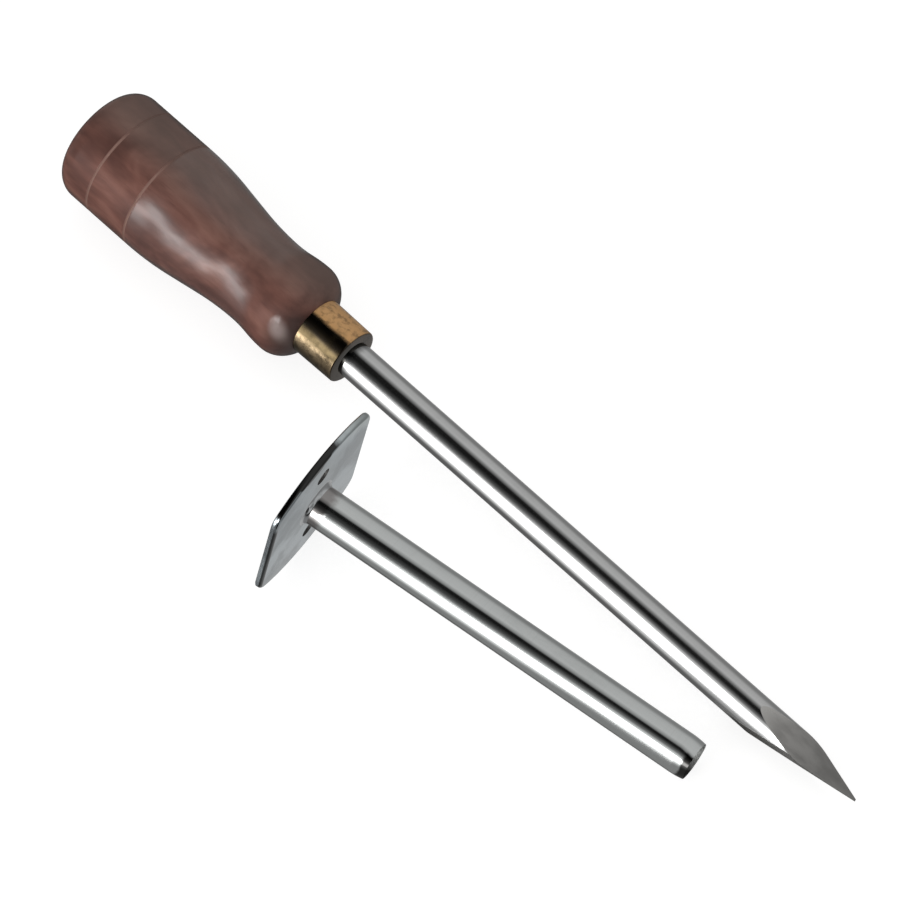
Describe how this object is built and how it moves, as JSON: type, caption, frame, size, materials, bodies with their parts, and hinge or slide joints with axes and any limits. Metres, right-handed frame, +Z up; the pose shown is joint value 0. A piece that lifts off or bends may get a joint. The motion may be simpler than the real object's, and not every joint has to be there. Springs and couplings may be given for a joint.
{
  "type": "trocar",
  "caption": "Cattle trocar with wooden handle, brass ferrule and three-edged steel stylet, laid beside its flanged cannula, which slides off the stylet.",
  "frame": {"origin": "middle of the whole layout's footprint, on the table under it", "axes": "+X along the trocar towards its point, +Y from the cannula towards the trocar, +Z up from the table"},
  "size_m": [0.2729, 0.0798, 0.0463],
  "materials": {
    "handle_wood": "red-brown varnish",
    "ferrule_brass": "polished, a little tarnished",
    "stylet_steel": "polished shaft, ground facets on the point",
    "tube_chrome": "polished",
    "flange_chrome": "polished",
    "solder": "dull solder"
  },
  "bodies": {
    "trocar": {"handle": "handle_wood", "ferrule": "ferrule_brass", "stylet": "stylet_steel"},
    "cannula": {"cannula_tube": "tube_chrome", "cannula_flange": "flange_chrome", "cannula_solder": "solder"}
  },
  "joints": [
    {"name": "cannula_slide", "type": "slide", "parent": "trocar", "child": "cannula", "axis": [1, 0, 0], "range_m": [-0.025, 0.155]}
  ]
}
